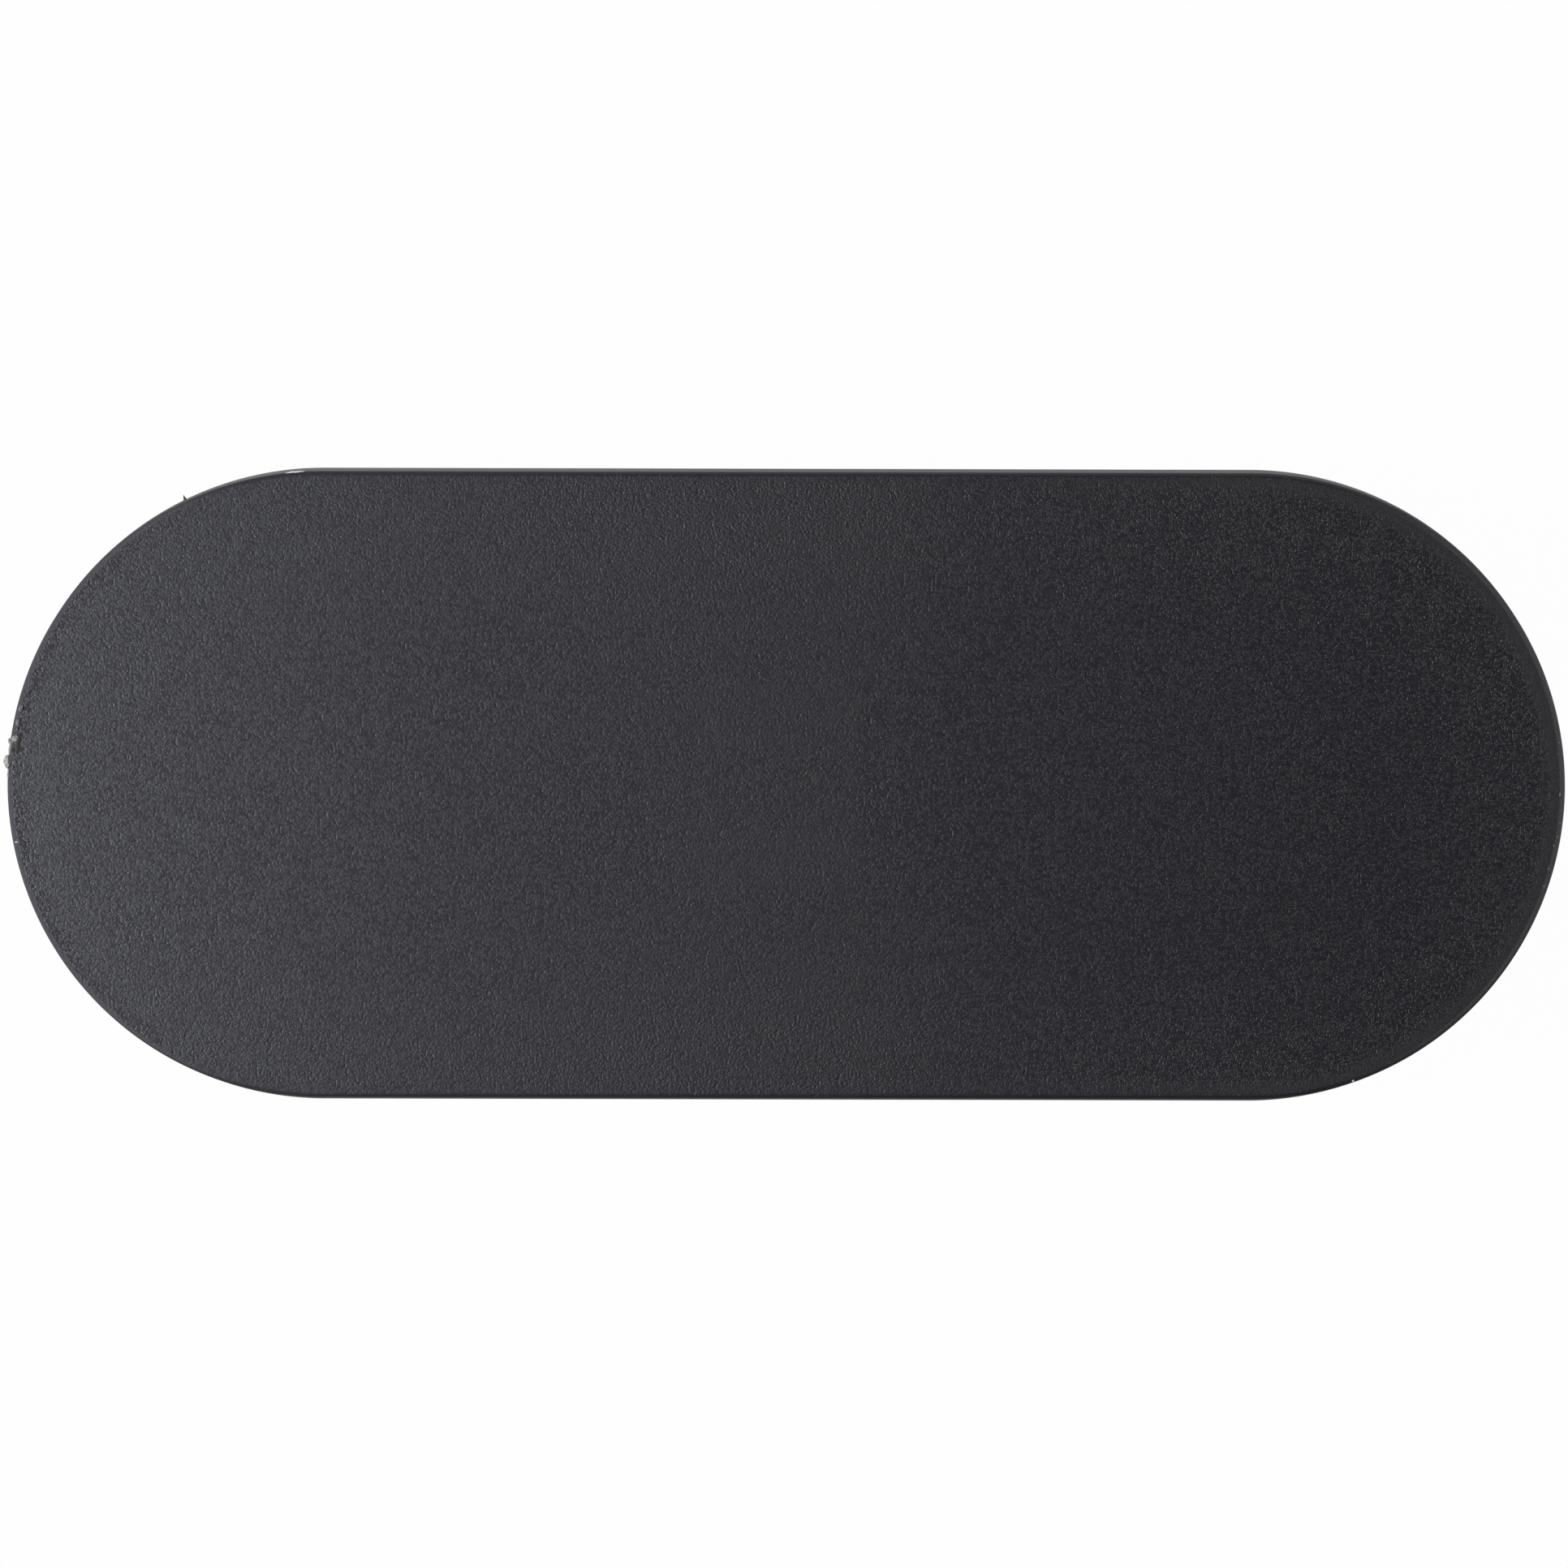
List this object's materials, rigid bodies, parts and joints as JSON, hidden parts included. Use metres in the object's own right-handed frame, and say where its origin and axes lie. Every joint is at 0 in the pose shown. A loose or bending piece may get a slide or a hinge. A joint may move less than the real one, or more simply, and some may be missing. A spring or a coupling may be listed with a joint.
{
  "type": "webcam cover slider",
  "caption": "Pill-shaped webcam cover: a grained plastic cover with snap hooks slides along a slotted stick-on base plate to hide or bare the round lens window.",
  "frame": {"origin": "middle of the adhesive back face, under the centre of the closed cover", "axes": "+Z out of the front face, +X along the pill, the way the cover slides open, +Y across it"},
  "size_m": [0.042, 0.017, 0.0029],
  "materials": {
    "cover_plastic": "fine spark-eroded mould grain",
    "base_plastic": "satin as moulded",
    "adhesive_tape": "tacky foam tape"
  },
  "bodies": {
    "base": {"base_plate": "base_plastic", "adhesive_pad": "adhesive_tape"},
    "cover": {"sliding_cover": "cover_plastic"}
  },
  "joints": [
    {"name": "cover_slide", "type": "slide", "parent": "base", "child": "cover", "axis": [1, 0, 0], "range_m": [0, 0.013]}
  ]
}
